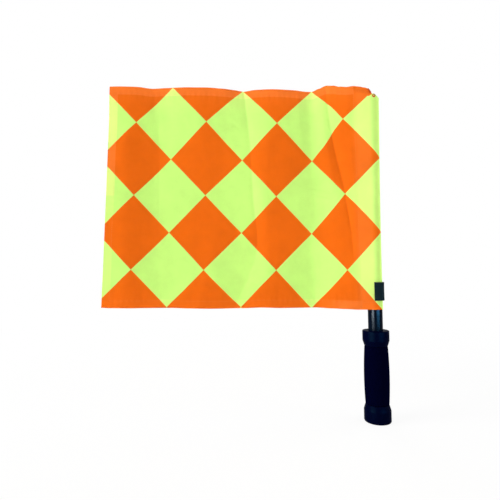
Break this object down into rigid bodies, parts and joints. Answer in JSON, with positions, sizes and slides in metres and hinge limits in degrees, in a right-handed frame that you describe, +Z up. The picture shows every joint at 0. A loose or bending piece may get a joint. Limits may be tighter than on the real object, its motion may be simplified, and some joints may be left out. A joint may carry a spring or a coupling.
{
  "type": "linesman flag",
  "caption": "Hand-held linesman flag: checked cloth with a pole sleeve on a round plastic pole, barrel grip between collars, hook-and-loop keeper tab.",
  "frame": {"origin": "middle of the butt cap's flat end, on the pole's axis", "axes": "+Z up the pole towards the cloth, -X from the pole towards the fly edge, -Y out of the cloth's front face"},
  "size_m": [0.3793, 0.0346, 0.4497],
  "materials": {
    "pole_plastic": "gloss",
    "cap_plastic": "satin",
    "grip_foam": "matte",
    "flag_cloth": "matte",
    "sewing_thread": "satin",
    "corner_thread": "satin",
    "keeper_tape": "matte",
    "keeper_thread": "satin"
  },
  "bodies": {
    "handle": {"pole_tube": "pole_plastic", "pole_top_cap": "cap_plastic", "butt_cap": "cap_plastic", "grip_barrel": "grip_foam", "grip_top_collar": "cap_plastic"},
    "sleeve": {"flag_sleeve": "flag_cloth", "sleeve_seam_stitching": "sewing_thread", "sleeve_crown_stitching": "sewing_thread", "sleeve_corner_tack": "corner_thread", "sleeve_hem_stitching_front": "sewing_thread", "sleeve_hem_stitching_back": "sewing_thread", "keeper_loop_patch": "keeper_tape", "keeper_tab_base": "keeper_tape", "keeper_tab_stitching": "keeper_thread"},
    "panel": {"flag_panel": "flag_cloth", "bottom_hem_stitching": "sewing_thread", "top_hem_stitching": "sewing_thread", "fly_hem_stitching": "sewing_thread"},
    "keeper_flap": {"keeper_tab_flap": "keeper_tape"}
  },
  "joints": [
    {"name": "flag_slide", "type": "slide", "parent": "handle", "child": "sleeve", "axis": [0, 0, 1], "range_m": [0, 0.3]},
    {"name": "panel_swing", "type": "hinge", "parent": "sleeve", "child": "panel", "pos_m": [-0.0245, -0.006, 0.3], "axis": [0, 0, 1], "range_deg": [-110, 110]},
    {"name": "tab_peel", "type": "hinge", "parent": "sleeve", "child": "keeper_flap", "pos_m": [0.01155, 0, 0.17], "axis": [0, 0, 1], "range_deg": [0, 150]}
  ]
}
